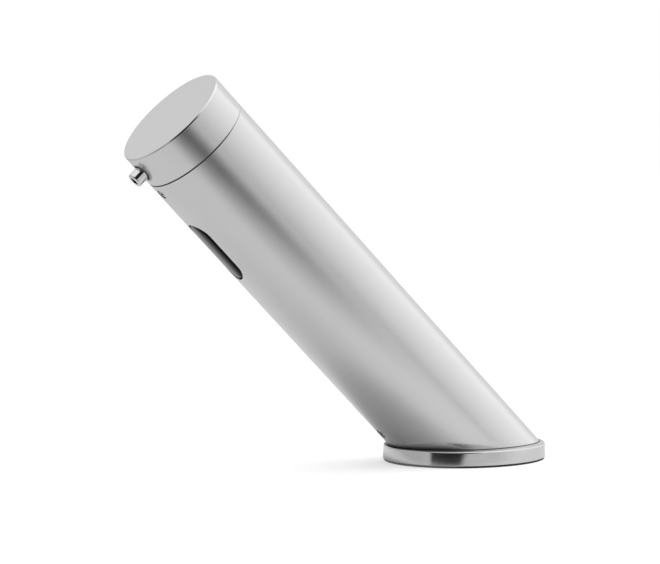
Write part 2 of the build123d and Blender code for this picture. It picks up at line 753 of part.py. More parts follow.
# Sensor cable: out of the housing, over to the passage and down to its plug
cable_points = [
    place(housing_foot_station + cable_inside, cable_drop, cable_side),
    place(gland_foot_station - cable_straight, cable_drop, cable_side),
    place(gland_foot_station - cable_straight - cable_bend_fall, plug_drop, plug_side),
    place(plug_station + plug_length, plug_drop, plug_side),
]
cable_runs = [cable_points[k + 1] - cable_points[k] for k in range(len(cable_points) - 1)]
cable_radii = []
for run_in, run_out in zip(cable_runs, cable_runs[1:]):
    shorter = min(run_in.length, run_out.length)
    cable_radii.append(cable_bend_share * shorter / tan(radians(run_in.get_angle(run_out) / 2)))
print("cable bend radii", [round(radius, 1) for radius in cable_radii])
with BuildPart() as sensor_cable:
    with BuildLine():
        cable_path = FilletPolyline(*cable_points, radius=cable_radii)
    with BuildSketch(Plane(origin=cable_path @ 0, z_dir=cable_path % 0)):
        Circle(cable_r)
    sweep()
cable_volume = pi * cable_r ** 2 * cable_path.length
print("cable volume against section times length", round(sensor_cable.part.volume / cable_volume, 4))
sensor_cable.part.label = "sensor_cable"
export_step(sensor_cable.part, "parts/sensor_cable.step")

# Cable plug: a taper at the cable, a body, a screw nut round a shell with pins
plug_top = plug_station + plug_length
with BuildPart() as cable_plug:
    with BuildSketch(half_section(plug_drop, plug_side)):
        with BuildLine():
            Polyline((0, plug_station), (plug_nut_d / 2, plug_station),
                     (plug_nut_d / 2, plug_station + plug_nut_length),
                     (plug_d / 2, plug_station + plug_nut_length),
                     (plug_d / 2, plug_top - plug_taper_length), (plug_tip_d / 2, plug_top),
                     (0, plug_top), close=True)
        make_face()
    revolve(axis=long_axis(plug_drop, plug_side))
    with BuildSketch(across(plug_station, plug_drop, plug_side)):
        Circle(plug_d / 2 - plug_shell_wall)
        with PolarLocations(plug_pin_circle_d / 2, plug_pin_count):
            Circle(plug_pin_d / 2, mode=Mode.SUBTRACT)
    extrude(amount=plug_shell_depth, mode=Mode.SUBTRACT)
cable_plug.part.label = "cable_plug"
export_step(cable_plug.part, "parts/cable_plug.step")
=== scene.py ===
# %% [markdown]
# # A touch-free soap dispenser spout in brushed steel
#
# The CAD model is the fixed frame of this scene. It gives every piece its real
# size and place, and what is built here only dresses it. Loading it first means
# that each new surface can be worked out from the frame, with no fitting.

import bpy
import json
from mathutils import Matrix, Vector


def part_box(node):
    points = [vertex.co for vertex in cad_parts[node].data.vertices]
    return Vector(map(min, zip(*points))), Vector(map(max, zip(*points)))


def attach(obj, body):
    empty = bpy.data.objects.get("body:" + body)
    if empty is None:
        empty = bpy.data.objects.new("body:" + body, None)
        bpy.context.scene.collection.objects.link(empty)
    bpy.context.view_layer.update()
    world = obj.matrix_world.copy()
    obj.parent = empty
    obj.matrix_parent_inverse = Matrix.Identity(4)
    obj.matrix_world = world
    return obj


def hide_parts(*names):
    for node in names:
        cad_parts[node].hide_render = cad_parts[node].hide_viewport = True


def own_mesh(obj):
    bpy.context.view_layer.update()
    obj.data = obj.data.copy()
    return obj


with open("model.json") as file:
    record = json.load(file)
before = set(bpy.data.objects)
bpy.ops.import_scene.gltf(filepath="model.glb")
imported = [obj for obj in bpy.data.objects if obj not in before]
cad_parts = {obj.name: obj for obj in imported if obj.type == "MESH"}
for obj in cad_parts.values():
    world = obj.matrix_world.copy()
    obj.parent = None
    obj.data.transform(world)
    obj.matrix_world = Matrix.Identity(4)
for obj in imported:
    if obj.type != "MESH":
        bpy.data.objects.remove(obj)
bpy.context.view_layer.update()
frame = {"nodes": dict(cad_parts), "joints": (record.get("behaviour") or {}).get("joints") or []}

# %% Imports
import json
import math

import bmesh
import bpy
import numpy as np
from mathutils.geometry import delaunay_2d_cdt

# %% [markdown]
# ## One way to name a place on a leaning tube
#
# The tube leans by 44 degrees, so plain X, Y and Z say little about its pieces.
# Three numbers say more: the station along the tube from the plate's top, the
# drop from the axis towards the underside, and the side step along +X. The
# directions come from the joints, because the spout lifts off along its axis and
# the drip valve opens square to it.

# %% Directions and places
joints = {joint["name"]: joint for joint in frame["joints"]}
along = np.array(joints["spout_lift"]["axis"])
under = np.array(joints["valve_open"]["axis"])
sideways = np.array([1.0, 0.0, 0.0])
plate_low, plate_high = (np.array(corner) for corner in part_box("base_plate"))
foot = np.array([0.0, 0.0, plate_high[2]])
mm = 0.001


def place(station, drop=0.0, side=0.0):
    """Foot plus station times along, drop times under and side times sideways, for whole arrays."""
    steps = np.broadcast_arrays(station, drop, side)
    return foot + sum(step[..., None] * way for step, way in zip(steps, (along, under, sideways)))


def rings_down(station, rays, rows):
    """Rings square to the drop at a station: side is reach times a ray's cosine, and the rest its sine."""
    return np.stack([
        place(station + reach * np.sin(rays), drop, reach * np.cos(rays)) for reach, drop in rows
    ])


print("lean in degrees:", round(math.degrees(math.asin(-along[1])), 2))

# %% Sizes in metres
tube_r = (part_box("spout_tube")[1].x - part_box("spout_tube")[0].x) / 2
tube_wall = 2.0 * mm
bore_r = tube_r - tube_wall
seam_station = 165.5 * mm
top_station = 179.65 * mm
window_station = 130.0 * mm
nozzle_station = 172.6 * mm
grub_stations = (29.2 * mm, 161.2 * mm)
lean_tan = -along[1] / along[2]
print("tube's radius and bore in mm:", round(tube_r / mm, 2), round(bore_r / mm, 2))

# %% [markdown]
# ## The camera
#
# The photograph was taken with a long lens from a few degrees above the deck. The
# lens, place and aim below make the tube, cap and plate fall on the outlines of
# the photograph.

# %% Camera
camera_azimuth = math.radians(63.936)
camera_elevation = math.radians(4.84)
camera_place = (1.183373, -0.637220, 0.182930)


def add_object(name, data):
    """Puts new data into the scene as an object at the origin."""
    made = bpy.data.objects.new(name, data)
    bpy.context.scene.collection.objects.link(made)
    return made


camera_data = bpy.data.cameras.new("camera")
camera_data.lens, camera_data.sensor_width, camera_data.clip_start = 188.79, 36.0, 0.05
camera = add_object("camera", camera_data)
camera.location = camera_place
camera.rotation_euler = (math.radians(90) - camera_elevation, 0.0, camera_azimuth)
bpy.context.scene.camera = camera
bpy.context.scene.view_settings.view_transform = "Standard"
print("camera's distance in metres:", round(math.dist(camera_place, foot), 3))

# %% [markdown]
# ## Shader sums written as sums
#
# A node tree is hard to read as a list of links. Here a wire, which is one output
# socket, knows how to be added, multiplied and compared, so that shader maths
# reads like ordinary maths. Every other node comes from one method, node(), which
# sets the node's settings first and then the values or links of its sockets.


# %% Wires
def math_method(operation, reflected=False):
    """Method of an operator: a Math node of the wire and the other value, which comes first if reflected."""
    def method(self, other=0.0):
        first, second = (other, self) if reflected else (self, other)
        return self.graph.maths(operation, first, second)
    return method


class Wire:
    """One output socket; sums, products and comparisons of wires add Math nodes."""

    def __init__(self, graph, socket):
        self.graph, self.socket = graph, socket

    __add__, __radd__ = math_method("ADD"), math_method("ADD", True)
    __sub__, __rsub__ = math_method("SUBTRACT"), math_method("SUBTRACT", True)
    __mul__, __rmul__ = math_method("MULTIPLY"), math_method("MULTIPLY", True)
    __truediv__, __rtruediv__ = math_method("DIVIDE"), math_method("DIVIDE", True)
    __pow__, __rpow__ = math_method("POWER"), math_method("POWER", True)
    __gt__, __lt__ = math_method("GREATER_THAN"), math_method("LESS_THAN")
    __abs__ = math_method("ABSOLUTE")


# %% Graphs
class Graph:
    """A node tree that is emptied and then grows by node() and by sums of its wires."""

    def __init__(self, tree):
        self.tree = tree
        tree.nodes.clear()

    def node(self, kind, settings=None, sockets=None, out=0):
        """Adds a node, its settings first and its sockets after them, and gives one output's wire."""
        made = self.tree.nodes.new("ShaderNode" + kind)
        for name, value in (settings or {}).items():
            setattr(made, name, value)
        for name, value in (sockets or {}).items():
            if isinstance(value, Wire):
                self.tree.links.new(value.socket, made.inputs[name])
            else:
                made.inputs[name].default_value = value
        return Wire(self, made.outputs[out]) if len(made.outputs) else None

    def maths(self, operation, first, second=0.0):
        """Math node of two values, the second of which some operations leave unread."""
        return self.node("Math", {"operation": operation}, {0: first, 1: second})

    def vector_maths(self, operation, first, second, out="Vector"):
        """Vector Math node of two vectors."""
        return self.node("VectorMath", {"operation": operation}, {0: first, 1: tuple(second)}, out)

    def dot(self, vector, direction):
        """Length of a vector along a direction."""
        return self.vector_maths("DOT_PRODUCT", vector, direction, "Value")

    def step(self, value, low, high, start=0.0, end=1.0, kind="SMOOTHSTEP"):
        """Smooth step of a wire: start at low, end at high, and held beyond both."""
        ends = {"Value": value, "From Min": low, "From Max": high, "To Min": start, "To Max": end}
        return self.node("MapRange", {"interpolation_type": kind, "clamp": True}, ends)

    def slope(self, *limits, **ends):
        """Straight ramp, with the values of a step."""
        return self.step(*limits, **ends, kind="LINEAR")

    def mix(self, share, first, second):
        """Colour that goes from the first to the second as the share goes from 0 to 1."""
        return self.node("Mix", {"data_type": "RGBA"}, {0: share, 6: first, 7: second}, 2)

    def noise(self, vector, scale, detail, roughness):
        """Noise from 0 to 1 with a scale in waves to one unit of the vector."""
        sockets = {"Vector": vector, "Scale": scale, "Detail": detail, "Roughness": roughness}
        return self.node("TexNoise", sockets=sockets)

    def bump(self, height, distance=1.0):
        """Normal of a surface that rises by height times distance, in metres."""
        return self.node("Bump", sockets={"Strength": 1.0, "Distance": distance, "Height": height})


# %% [markdown]
# ## Studio light
#
# Brushed metal shows its surroundings, so the light here is mostly a well-chosen
# surrounding: a bright wall behind on the right, a dimmer one on the left, a
# ceiling, and a dark gap with a slanted lower side where the camera stands, which
# draws the dark band along the tube. The ceiling is lower and dimmer in mirrored
# light, as if its lamps were kept out of the reflections. The mirrored table fades
# into the dark towards the camera and is shaded under the lean. The camera itself
# sees plain white.


# %% World
def direction(azimuth, elevation):
    """Unit vector at an azimuth from +X towards +Y and an elevation, both in degrees."""
    a, e = math.radians(azimuth), math.radians(elevation)
    return (math.cos(a) * math.cos(e), math.sin(a) * math.cos(e), math.sin(e))


light_ways = [direction(110, 15), direction(148, 15), direction(-115, 0), direction(-178, 24), (0, 0, 1)]
gap_sides = [
    (direction(54, 0), (-0.50, -0.38)),
    (direction(-80, 0), (-0.05, 0.08)),
    ((-0.143, -0.440, 0.887), (-0.02, 0.06)),
    ((0, 0, -1), (-0.77, -0.70)),
]
gap_darkness = 0.97
white = (1.0, 1.0, 1.0, 1.0)


def light_world():
    """Light of each way as sums of steps, whose limits are cosines of the angle from a direction."""
    world = bpy.data.worlds.new("studio")
    world.use_nodes = True
    bpy.context.scene.world = world
    graph = Graph(world.node_tree)
    ray = graph.node("TexCoord", out="Generated")
    mirrored, seen = (graph.node("LightPath", out=kind) for kind in ("Is Glossy Ray", "Is Camera Ray"))
    to_wall, to_rear, to_left, to_behind, up = (graph.dot(ray, way) for way in light_ways)
    wall = graph.slope(to_wall, 0.1, 1.0, start=0.60, end=1.05) + graph.step(to_wall, 0.90, 0.99, end=0.06)
    rear = graph.step(to_rear, 0.82, 0.89, start=1.0, end=0.78)
    rear = rear * graph.step(to_rear, 0.955, 0.99, start=1.0, end=0.97)
    left = graph.step(to_left, 0.50, 0.85, start=1.0, end=0.82)
    ceiling = graph.step(up, 0.73, 0.85, end=0.60) * (1 - mirrored)
    ceiling = ceiling + graph.step(up, 0.50, 0.80, end=0.35) * mirrored
    behind = graph.step(to_behind, 0.88, 0.98, end=0.06)
    gap = math.prod(graph.step(graph.dot(ray, way), *limits) for way, limits in gap_sides)
    light = (wall * rear * left + ceiling + behind) * (1 - gap * gap_darkness)
    level = graph.node("Mix", {"data_type": "FLOAT"}, {0: seen, 2: light, 3: 1.0})
    shader = graph.node("Background", sockets={"Color": white, "Strength": level})
    graph.node("OutputWorld", sockets={"Surface": shader})
    return len(graph.tree.nodes)


print("nodes of the studio's light:", light_world())

# %% Floor
floor_half = 6.0
pale_tone, dark_tone = 0.92, 0.11
shade_middle, shade_depth = (0.0, -0.038, 0.0), 0.26
floor_glow = 0.45


def start_material(name):
    """New material, its emptied graph, and the wire of the object's own coordinates."""
    material = bpy.data.materials.new(name)
    material.use_nodes = True
    graph = Graph(material.node_tree)
    return material, graph, graph.node("TexCoord", out="Object")


def floor_finish():
    """Pale table: dark towards the camera in mirrored light, white to the camera, and clear from below."""
    material, graph, spot = start_material("floor")
    mirrored, seen = (graph.node("LightPath", out=kind) for kind in ("Is Glossy Ray", "Is Camera Ray"))
    ahead, aside, away = (graph.dot(spot, direction(azimuth, 0)) for azimuth in (-28, 62, -135))
    slant = aside / graph.maths("MAXIMUM", ahead, 0.01)
    fan = graph.step(slant, 0.1, 1.0, start=1.0, end=0.3) * graph.step(slant, -0.6, -0.15, start=0.4, end=1.0)
    fade = graph.slope(ahead, 0.10, 0.32) * fan * mirrored
    falloff = graph.slope(away, 0.05, 0.42, start=1.0, end=0.72)
    from_shade = graph.vector_maths("DISTANCE", spot, shade_middle, "Value")
    shade = graph.step(from_shade, 0.055, 0.020, end=shade_depth) * mirrored
    tone = (pale_tone - fade * (pale_tone - dark_tone)) * falloff * (1 - shade)
    grey_tone = graph.node("CombineColor", sockets={channel: tone for channel in range(3)})
    pale = graph.node("BsdfDiffuse", sockets={"Color": grey_tone})
    glow = graph.node("Emission", sockets={"Strength": seen * floor_glow})
    lit = graph.node("AddShader", sockets={0: pale, 1: glow})
    below = graph.node("NewGeometry", out="Backfacing")
    surface = graph.node("MixShader", sockets={0: below, 1: lit, 2: graph.node("BsdfTransparent")})
    graph.node("OutputMaterial", sockets={"Surface": surface})
    return material


def lay_floor():
    """One square face that is wide enough to have no edge in the picture."""
    mesh = bpy.data.meshes.new("floor")
    corners = [(x * floor_half, y * floor_half, 0) for x, y in ((-1, -1), (1, -1), (1, 1), (-1, 1))]
    mesh.from_pydata(corners, [], [(0, 1, 2, 3)])
    mesh.materials.append(floor_finish())
    floor = add_object("floor", mesh)
    return floor


print("laid:", lay_floor().name)

# %% [markdown]
# ## Surfaces from arrays
#
# Every new piece is a handful of sheets. A sheet is an array of points in rows and
# columns, which a formula gives at once, and the quads between its points are index
# sums. Sheets that share an edge compute the same points there, so merging the
# doubles closes the piece, and one recalculation turns all faces outwards.


# %% Sheets to pieces
merge_gap = 0.0005 * mm
sharp_angle = math.radians(38)


def sheet_quads(rows, columns):
    """Corner indices of the quads in a sheet, whose points are counted row by row."""
    corner = np.arange(rows - 1)[:, None] * columns + np.arange(columns - 1)
    return np.stack([corner, corner + 1, corner + columns + 1, corner + columns], axis=-1).reshape(-1, 4)


def make_piece(name, sheets, material, body, slot, *nodes, fills=()):
    """Joins sheets and flat fills, given as (points, faces), into one closed piece in place of CAD nodes."""
    points, faces, count = [], [], 0
    quads = [(sheet.reshape(-1, 3), sheet_quads(*sheet.shape[:2])) for sheet in sheets]
    for corners, polygons in [*quads, *fills]:
        points.append(corners)
        faces += (polygons + count).tolist()
        count += len(corners)
    mesh = bpy.data.meshes.new(name)
    mesh.from_pydata(np.concatenate(points).tolist(), [], faces)
    work = bmesh.new()
    work.from_mesh(mesh)
    bmesh.ops.remove_doubles(work, verts=work.verts, dist=merge_gap)
    bmesh.ops.recalc_face_normals(work, faces=work.faces)
    open_edges = sum(not edge.is_manifold for edge in work.edges)
    work.to_mesh(mesh)
    work.free()
    mesh.shade_smooth()
    mesh.set_sharp_from_angle(angle=sharp_angle)
    mesh.materials.append(material)
    piece = add_object(name, mesh)
    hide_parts(*nodes)
    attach(piece, body)
    print(name, "faces", len(mesh.polygons), "open edges", open_edges)
    return piece


# %% Rolled profiles
arc_steps = 5
arc_guard = 0.12 * mm


def unit(vector):
    """A vector over its length."""
    return vector / np.linalg.norm(vector)


def rolled(corners, radii):
    """Profile with tangent arcs for corners: middle plus start times cosine plus square times sine.

    A guard point before and after each arc keeps the smooth shading of the arc off the straights.
    """
    corners = np.asarray(corners, float)
    points = [corners[:1]]
    for before, corner, after, radius in zip(corners, corners[1:], corners[2:], radii):
        if radius == 0:
            points.append(corner[None])
            continue
        back, on = unit(before - corner), unit(after - corner)
        half = math.acos(back @ on) / 2
        sweep = math.pi - 2 * half
        reach = radius / math.tan(half)
        middle = corner + unit(back + on) * radius / math.sin(half)
        start, end = corner + back * reach - middle, corner + on * reach - middle
        square = (end - start * math.cos(sweep)) / math.sin(sweep)
        turn = np.linspace(0, sweep, arc_steps + 1)[:, None]
        arc = middle + start * np.cos(turn) + square * np.sin(turn)
        points += [arc[:1] + back * arc_guard, arc, arc[-1:] + on * arc_guard]
    return np.concatenate(points + [corners[-1:]])


# %% [markdown]
# ## Painted shade and light
#
# The steels carry painted shade where the tube meets the plate, round the grub
# screws' holes, in the seam below the cap and in the nozzle's recess, with a dark
# painted reflection of the nozzle round that, and the gasket's front is painted
# paler. Each kind is a share from 0 to 1, worked out from the distance to its edge or hole.


# %% Painted shade and light
def station_drop_side(graph, spot):
    """Wires of the three numbers that place() takes, for the spot of a shader."""
    way = graph.vector_maths("SUBTRACT", spot, foot)
    return [graph.dot(way, axis) for axis in (along, under, sideways)]


def foot_painted_shade(graph, spot):
    """Painted shade at the foot line: a share from the distance up the tube and out over the plate, less to
    the rear.
    """
    x, y, z = (graph.dot(spot, axis) for axis in np.eye(3))
    oval = ((x / tube_r) ** 2 + (y * along[2] / tube_r) ** 2) ** 0.5
    spread = graph.maths("MAXIMUM", oval - 1, 0) * (15 * mm)
    rise = graph.maths("MAXIMUM", z - plate_high[2], 0)
    depth = graph.step(y, -22 * mm, -6 * mm, start=3.0 * mm, end=0.4 * mm)
    # painted shade where the tube meets the plate, up the tube and out over the plate's top
    share = graph.step((spread ** 2 + rise ** 2) ** 0.5 / depth, 1.0, 0.0)
    return share * graph.step(rise, 0.0, 0.2 * mm, start=0.7) * (z > plate_high[2] - 0.1 * mm)


def hole_painted_shade(graph, spot, stations, outer_radius, full, stretch=1.0):
    """Painted shade round one or two holes: nought beyond the outer radius, one within the full radius,
    stretched sideways.
    """
    station, drop, side = station_drop_side(graph, spot)
    middle, half = sum(stations) / len(stations), (max(stations) - min(stations)) / 2
    off = abs(station - middle) - half
    radius = (off ** 2 + (side / stretch) ** 2) ** 0.5
    return graph.step(radius, outer_radius, full) * (drop > 0)


def seam_painted_shade(graph, spot):
    """Painted shade in the seam below the cap: one at its edges, and less towards the tube's upper side."""
    station, drop, _ = station_drop_side(graph, spot)
    lower = graph.step(drop, -0.6 * tube_r, 0.1 * tube_r)
    return graph.step(abs(station - seam_station), 0.34 * mm, 0.22 * mm) * lower


def tube_painted_shade(graph, spot):
    """Painted shade at the foot, in the grub screws' holes and in the seam."""
    holes = hole_painted_shade(graph, spot, grub_stations, 2.16 * mm, 2.10 * mm)
    return graph.maths("MAXIMUM", foot_painted_shade(graph, spot), holes) + seam_painted_shade(graph, spot)


def cap_painted_shade(graph, spot):
    """Painted reflection of the nozzle round it, wider than long, and painted shade in its recess and in the
    seam.
    """
    # a dark painted reflection of the nozzle on the cap, then painted shade in the recess round the nozzle
    nozzle_reflection = hole_painted_shade(graph, spot, [nozzle_station], 4.7 * mm, 3.3 * mm, 1.4) * 0.60
    recess_shade = hole_painted_shade(graph, spot, [nozzle_station], 3.7 * mm, 3.5 * mm) * 0.38
    return nozzle_reflection + recess_shade + seam_painted_shade(graph, spot)


def front_painted_light(graph, spot):
    """Share of painted light on the gasket's front: nought behind y = -10 mm, most from y = -28 mm on."""
    return graph.step(graph.dot(spot, (0, 1, 0)), -10 * mm, -28 * mm, end=0.85)


# %% [markdown]
# ## Brushed and turned steel
#
# The tube, cap and plate are stainless steel, brushed round and round. The marks
# are far finer than a pixel, but they spread reflections along the tube and leave
# those across it crisp. A noise that is squeezed along the piece and stretched
# round it gives such marks: its height goes to a bump, and a broad, faint noise
# varies roughness and colour. One coordinate serves wall and end face alike: the
# height along the axis plus the radius from it, because one of them is constant
# on each. The plate's wall is smoother than its ground top, and a bump rounds it a
# little, as polishing does.


# %% Brushed steel
# Colour of the painted shade in the steels' corners, holes and seam, and of the painted reflection round the
# nozzle.
painted_shade_colour = (0.012, 0.012, 0.011, 1.0)
tone_spread = 0.035
ground_heights = (5.8 * mm, 6.2 * mm)


def grey(value):
    """Opaque colour of one value."""
    return (value, value, value, 1.0)


def finish(name, paint):
    """New material: one Principled shader with the sockets that paint gives for the object's coordinates."""
    material, graph, spot = start_material(name)
    shader = graph.node("BsdfPrincipled", sockets=paint(graph, spot))
    graph.node("OutputMaterial", sockets={"Surface": shader})
    return material


def brushed(name, tone, roughness, axis, centre, painted_shade, stretch=1.0, pitch=0.10 * mm, depth=0.0025 * mm,
            wear=1.0, crown=(0.0, 0.0), ground=0.0):
    """Steel whose marks run round an axis: noise of height plus radius, a broad noise for wear, and painted
    shade.

    The stretch makes the rings oval. The crown is the part of the height and of its square in the bump,
    and ground is what the roughness of the plate's top face is above that of its wall.
    """
    def paint(graph, spot):
        from_centre = graph.vector_maths("SUBTRACT", spot, centre)
        height, side, rear = (
            graph.dot(from_centre, way) for way in (axis, sideways, np.cross(axis, sideways))
        )
        mark = height + (side ** 2 + (rear * stretch) ** 2) ** 0.5

        def ring_noise(length, width, detail, coarse):
            sockets = {0: side / length, 1: rear / length, 2: mark / width}
            return graph.noise(graph.node("CombineXYZ", sockets=sockets), 1.0, detail, coarse)

        marks, cloud = ring_noise(12 * mm, pitch, 3.0, 0.6), ring_noise(9 * mm, 6 * mm, 4.0, 0.55)
        low, high = (grey(tone * (1 + share * wear)) for share in (-tone_spread, tone_spread))
        tones = graph.mix(cloud * 0.7 + marks * 0.3, low, high)
        # painted shade from the piece's own function darkens the colour and dulls the metal
        shade_share = painted_shade(graph, spot)
        return {
            "Base Color": graph.mix(shade_share * 0.97, tones, painted_shade_colour),
            "Metallic": 1 - shade_share * 0.8,
            "Roughness": roughness + (cloud - 0.5) * (0.06 * wear) + (marks - 0.5) * 0.05 + shade_share * 0.3
            + graph.step(height, *ground_heights, end=ground),
            "Normal": graph.bump(marks * depth - height * crown[0] - height ** 2 * crown[1]),
        }
    return finish(name, paint)


plate_stretch = (plate_high[0] - plate_low[0]) / (plate_high[1] - plate_low[1])
tube_steel = brushed("tube_steel", 0.74, 0.22, along, foot, tube_painted_shade)
cap_steel = brushed("cap_steel", 0.75, 0.20, along, foot, cap_painted_shade, pitch=0.08 * mm, wear=0.7)
plate_steel = brushed("plate_steel", 0.73, 0.10, (0, 0, 1), (0, 0, 0), foot_painted_shade, plate_stretch,
                      depth=0.0012 * mm, wear=0.4, crown=(0.050, 2.0), ground=0.16)
print("steels:", [steel.name for steel in (tube_steel, cap_steel, plate_steel)])

# %% [markdown]
# ## Chrome, rubber, plastics and brass
#
# The smaller pieces share one kind of finish: turned, moulded or pressed material
# with a fine grain. The grain is a noise at the size that the real surface has,
# which changes roughness and bump a little, while a much broader noise changes the
# colour by a few percent, as handling and moulding do. The gasket's front edge is
# painted paler, as painted light.

# %% Small finishes
# Paler colour of the painted light on the gasket's front.
painted_light_colour = (0.42, 0.41, 0.40, 1.0)
broad_scale = 90.0
metal, glassy = {"Metallic": 1.0}, {"IOR": 1.5}
clear, milky = glassy | {"Transmission Weight": 1.0}, glassy | {"Transmission Weight": 0.7}


def grained(name, colour, roughness, grain, depth, spread, fixed, painted_light=None):
    """Finish with a grain and its depth in mm, a spread of the colour by a share, fixed sockets and painted
    light.
    """
    def paint(graph, spot):
        fine, broad = graph.noise(spot, 1 / (grain * mm), 4.0, 0.6), graph.noise(spot, broad_scale, 3.0, 0.5)
        low, high = ([min(part * (1 + share), 1.0) for part in colour] + [1.0] for share in (-spread, spread))
        tones = graph.mix(broad * 0.7 + fine * 0.3, low, high)
        if painted_light:
            # painted light: the colour turns paler where the share is high
            tones = graph.mix(painted_light(graph, spot), tones, painted_light_colour)
        return fixed | {
            "Base Color": tones,
            "Roughness": roughness + (fine - 0.5) * 0.06 + (broad - 0.5) * 0.04,
            "Normal": graph.bump(fine, depth * mm),
        }
    return finish(name, paint)


finishes = {row[0]: grained(*row) for row in [
    ("nozzle_chrome", (0.80, 0.80, 0.81), 0.06, 0.8, 0.0004, 0.02, metal),
    ("screw_steel", (0.62, 0.62, 0.62), 0.30, 0.15, 0.003, 0.08, metal),
    ("core_brass", (0.78, 0.60, 0.31), 0.33, 0.2, 0.004, 0.10, metal),
    ("brass", (0.80, 0.62, 0.33), 0.25, 0.15, 0.002, 0.08, metal),
    ("rubber", (0.022,) * 3, 0.72, 0.10, 0.012, 0.15, {}),
    ("gasket_rubber", (0.038,) * 3, 0.72, 0.10, 0.012, 0.15, {}, front_painted_light),
    ("black_plastic", (0.026, 0.026, 0.028), 0.42, 0.18, 0.010, 0.12, {}),
    ("chip_black", (0.032, 0.032, 0.034), 0.50, 0.08, 0.006, 0.15, {}),
    ("cable_sheath", (0.050, 0.052, 0.056), 0.46, 0.15, 0.008, 0.12, {}),
    ("plug_plastic", (0.060, 0.060, 0.064), 0.38, 0.20, 0.008, 0.10, {}),
    ("white_plastic", (0.78, 0.78, 0.75), 0.30, 0.16, 0.005, 0.03, {}),
    ("collar_blue", (0.035, 0.13, 0.42), 0.34, 0.16, 0.006, 0.08, {}),
    ("eye_clear", (0.92, 0.94, 0.97), 0.07, 0.5, 0.001, 0.02, clear),
    ("eye_dark", (0.045, 0.030, 0.055), 0.07, 0.5, 0.001, 0.15, glassy),
    ("hose_clear", (0.86, 0.88, 0.86), 0.30, 0.6, 0.004, 0.03, milky),
]}
print("small finishes:", len(finishes))

# %% [markdown]
# ## Three finishes of their own
#
# A grub screw's socket and the edge of its thread are darkened by painted shade,
# and only its face stays bright. The sensor's window is black, with a half-mirror
# coat that shows along its middle line. The circuit board is copper tracks under
# green solder mask. Each depends on where a spot lies, so each has its own sums.


# %% Grub screws' steel
def grub_paint(graph, spot):
    """Turned steel, darkened by painted shade in the socket, within 0.8 mm, and on the thread, from 1.98 mm
    on.
    """
    fine = graph.noise(spot, 1 / (0.12 * mm), 4.0, 0.6)
    # painted shade in the hex socket, and on the thread's edge in the gap to the hole
    socket = hole_painted_shade(graph, spot, grub_stations, 0.90 * mm, 0.80 * mm)
    thread = 1 - hole_painted_shade(graph, spot, grub_stations, 1.98 * mm, 1.93 * mm)
    painted_shade = graph.maths("MAXIMUM", socket, thread) * 0.93
    return {
        "Base Color": graph.mix(painted_shade, graph.mix(fine, grey(0.58), grey(0.70)), (0.020, 0.019, 0.018, 1.0)),
        "Metallic": 1 - painted_shade,
        "Roughness": 0.24 + fine * 0.08 + painted_shade * 0.3,
        "Normal": graph.bump(fine, 0.003 * mm),
    }


grub_steel = finish("grub_steel", grub_paint)


# %% Window's half mirror
def window_paint(graph, spot):
    """Black lens with a half-mirror coat: 16% on the middle line, falling to nothing 3.2 mm from it."""
    fine = graph.noise(spot, 1 / (1.6 * mm), 3.0, 0.5)
    coat = graph.slope(abs(graph.dot(spot, sideways)), 0.0, 3.2 * mm, start=0.16, end=0.0)
    return {
        "Base Color": graph.node("CombineColor", sockets={channel: coat for channel in range(3)}),
        "Metallic": 1.0,
        "Roughness": 0.05 + fine * 0.03,
        "Normal": graph.bump(fine, 0.0003 * mm),
    }


window_dark = finish("window_dark", window_paint)


# %% Circuit board
def board_paint(graph, spot):
    """Green solder mask over copper tracks: gaps of a brick pattern set the tracks, dots are plated holes."""
    brick = {"Vector": spot, "Scale": 330.0, "Mortar Size": 0.06, "Mortar Smooth": 0.2, "Brick Width": 1.4,
             "Row Height": 0.4, "Color1": white, "Color2": white, "Mortar": grey(0.0)}
    track = 1 - graph.node("TexBrick", {"offset": 0.5, "offset_frequency": 2}, brick, "Color")
    dots = {"Vector": spot, "Scale": 360.0, "Randomness": 0.3}
    hole = graph.step(graph.node("TexVoronoi", {"feature": "F1"}, dots, "Distance"), 0.24, 0.18)
    mask = graph.mix(track, (0.012, 0.105, 0.035, 1.0), (0.030, 0.190, 0.065, 1.0))
    return {
        "Base Color": graph.mix(hole, mask, (0.72, 0.66, 0.52, 1.0)),
        "Metallic": hole * 0.9,
        "Roughness": 0.36 - hole * 0.08,
        "Normal": graph.bump(track - hole, 0.02 * mm),
    }


finishes["board_green"] = finish("board_green", board_paint)
print("materials in all:", len(bpy.data.materials))

# %% [markdown]
# ## The spout tube
#
# The tube's wall is a cylinder, but three holes pierce its underside. Cutting them
# with a boolean would leave long slivers that shade badly. Instead a strip along
# the underside is laid out by side step and station, and round each hole a sheet
# runs from the hole's outline to the rectangle around it. The same layout at the
# bore's radius gives the inner wall, and short sheets with a rolled edge join the
# two through each hole.


# %% Layout round the tube
strip_half = 9.5 * mm
slot_half = 2.3 * mm
slot_first, slot_last = 10, 18
strip_sides = np.concatenate([
    np.linspace(-strip_half, -slot_half, slot_first + 1),
    np.linspace(-slot_half, slot_half, slot_last - slot_first + 1)[1:-1],
    np.linspace(slot_half, strip_half, slot_first + 1),
])
strip_columns = len(strip_sides)
back_columns = 105
back_part = slice(strip_columns - 1, None)


def ring_angles(radius):
    """Angles round the axis from the underside: the strip's columns, then even steps round the back."""
    front = np.arcsin(strip_sides / radius)
    back = np.linspace(front[-1], math.tau + front[0], back_columns)
    return np.concatenate([front, back[1:]])


def ring_rows(rows, angles=None, columns=slice(None)):
    """Rings of points round the tube's axis, one for each (radius, station) row."""
    turns = [(ring_angles(radius) if angles is None else angles)[columns] for radius, _ in rows]
    return np.stack([
        place(station, radius * np.cos(turn), radius * np.sin(turn))
        for (radius, station), turn in zip(rows, turns)
    ])


